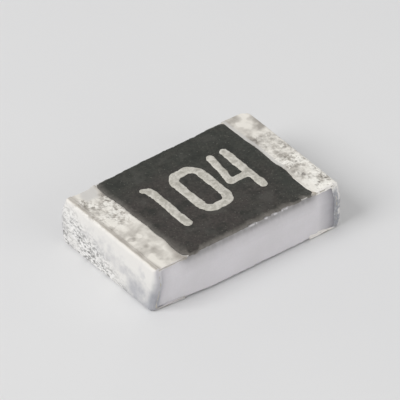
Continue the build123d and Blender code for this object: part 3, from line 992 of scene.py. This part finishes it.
def digit(name, distance, node):
    """Ink laid on the coat: a low mound with a slightly ragged edge."""
    low, high = node_box(node)
    step, margin = 0.0042, 0.03
    xs = np.arange(low[0] - margin, high[0] + margin, step)
    ys = np.arange(low[1] - margin, high[1] + margin, step)
    gx, gy = np.meshgrid(xs, ys, indexing="ij")
    flat = points_at(gx, gy, 0)
    ragged = 0.0085 * noise(flat, 0.065, 131, 2) + 0.004 * noise(flat, 0.02, 133, 2)
    top, faces = trace(xs, ys, distance(gx, gy) + ragged.reshape(gx.shape))
    depth = top[:, 2].copy()
    top[:, 2] = 0
    rise = 1 - np.exp(-depth / 0.006)
    lumps = 0.0006 * noise(top, 0.03, 135, 2)
    base = COAT_TOP + coat_surface(points_at(top[:, 0], top[:, 1], COAT_TOP))
    top[:, 2] = base - 0.0012 + rise * (high[2] - COAT_TOP + 0.0008 + lumps)
    bottom = top.copy()
    bottom[:, 2] = base - 0.0022
    count = len(top)
    edges = dict.fromkeys(edge for face in faces for edge in zip(face, face[1:] + face[:1]))
    walls = [[b, a, a + count, b + count] for a, b in edges if (b, a) not in edges]
    under = [[k + count for k in face[::-1]] for face in faces]
    points = np.concatenate([top, bottom])
    masks = {"middle": np.tile(ease(0.012, 0.032, depth), 2)}
    return make_mesh(name, points, faces + under + walls, ink, [node], masks)


# ---- buried layers ----
SAME_POINT = 1e-8  # in metres
LONGEST_EDGE = 0.09 * MM


def buried_copy(node, slot):
    """A buried layer, cut finer and moved with the snapped shape; it takes the CAD node's place."""
    bm = bmesh.new()
    bm.from_mesh(frame["nodes"][node].data)
    bmesh.ops.remove_doubles(bm, verts=bm.verts, dist=SAME_POINT)
    for _ in range(5):
        long_edges = [e for e in bm.edges if e.calc_length() > LONGEST_EDGE]
        if not long_edges:
            break
        bmesh.ops.subdivide_edges(bm, edges=long_edges, cuts=1)
        bmesh.ops.triangulate(bm, faces=[f for f in bm.faces if len(f.verts) > 3])
    points = np.array([v.co for v in bm.verts]) / MM
    if slot in ("nickel", "edge_paste"):
        # The right terminal's ridge is lowered, as in the tin over it.
        level, corner = (BAND - TIN, 0.03) if slot == "nickel" else (BAND - PLATING + 0.0004, 0.038)
        points[:, 2] = np.where(points[:, 0] > 0.85, np.minimum(points[:, 2], level), points[:, 2])
        # Under the tin's rounded ridge the corner is bevelled.
        limit = TOP_END + np.where(points[:, 0] < 0, RIDGE, RIDGE_RIGHT) - corner
        excess = np.maximum(np.abs(points[:, 0]) + points[:, 2] - limit, 0) / 2
        points[:, 0] -= np.sign(points[:, 0]) * excess
        points[:, 2] -= excess
    if slot == "nickel":
        # Where the ridge was lowered, points that now coincide are joined.
        for vert, place in zip(bm.verts, points * MM):
            vert.co = place
        bmesh.ops.remove_doubles(bm, verts=bm.verts, dist=SAME_POINT)
        bm.verts.index_update()
        points = np.array([v.co for v in bm.verts]) / MM
    faces = [[v.index for v in f.verts] for f in bm.faces]
    bm.free()
    return make_mesh(node + "_layer", points, faces, buried[slot], [node], smooth=False)


tin_shell(-1)
tin_shell(1)
ceramic_body()
coat_body()
digit("printed_1", one, "digit_1")
digit("printed_0", zero, "digit_0")
digit("printed_4", four, "digit_4")

for part in frame["record"]["subparts"]:
    node, slot = part["node"], part["material_slot"]
    if slot in ("nickel", "silver_paste", "edge_paste"):
        buried_copy(node, slot)
    elif slot in buried:
        layer = frame["nodes"][node].data
        layer.materials.clear()
        layer.materials.append(buried[slot])


# ---- floor and light ----
FLOOR_SIZE = 0.4
WORLD_LIGHT = 0.5
BACKDROP = (0.8, 0.8, 0.8, 1)


def make_floor():
    bpy.ops.mesh.primitive_plane_add(size=FLOOR_SIZE, location=(0, 0, 0))
    floor = bpy.context.object
    floor.name = "floor"
    r = Recipe("pale_floor")
    colour = r.mix(r.ramp(r.noise(0.35, 3), 0.2, 0.8), (0.8, 0.8, 0.8), (0.78, 0.78, 0.785))
    floor.data.materials.append(r.finish(Base_Color=colour, Roughness=0.8))


def make_world():
    """Even light on the object, and a pale backdrop for the camera and for reflections."""
    world = bpy.data.worlds.new("studio")
    scene.world = world
    world.use_nodes = True
    tree = world.node_tree
    light = tree.nodes["Background"]
    light.inputs["Color"].default_value = (1, 1, 1, 1)
    light.inputs["Strength"].default_value = WORLD_LIGHT
    seen = tree.nodes.new("ShaderNodeBackground")
    seen.inputs["Color"].default_value = BACKDROP
    seen.inputs["Strength"].default_value = 1.0
    path = tree.nodes.new("ShaderNodeLightPath")
    mixed = tree.nodes.new("ShaderNodeMixShader")
    either = tree.nodes.new("ShaderNodeMath")
    either.operation = "MAXIMUM"
    for output, socket in (
        (path.outputs["Is Camera Ray"], either.inputs[0]), (path.outputs["Is Glossy Ray"], either.inputs[1]),
        (either.outputs[0], mixed.inputs["Fac"]), (light.outputs[0], mixed.inputs[1]),
        (seen.outputs[0], mixed.inputs[2]), (mixed.outputs[0], tree.nodes["World Output"].inputs["Surface"]),
    ):
        tree.links.new(output, socket)


def make_lamp(name, place, size, power):
    """An area lamp that faces the object, in metres and watts."""
    data = bpy.data.lights.new(name, "AREA")
    data.shape = "RECTANGLE"
    data.size, data.size_y = size
    data.energy = power
    lamp = bpy.data.objects.new(name, data)
    lamp.location = place
    lamp.rotation_mode = "QUATERNION"
    lamp.rotation_quaternion = Vector(place).to_track_quat("Z", "Y")
    scene.collection.objects.link(lamp)


make_floor()
make_world()
make_lamp("key", (-0.06, 0.01, 0.055), (0.045, 0.045), 0.038)
make_lamp("fill", (0.02, -0.07, 0.04), (0.06, 0.04), 0.008)
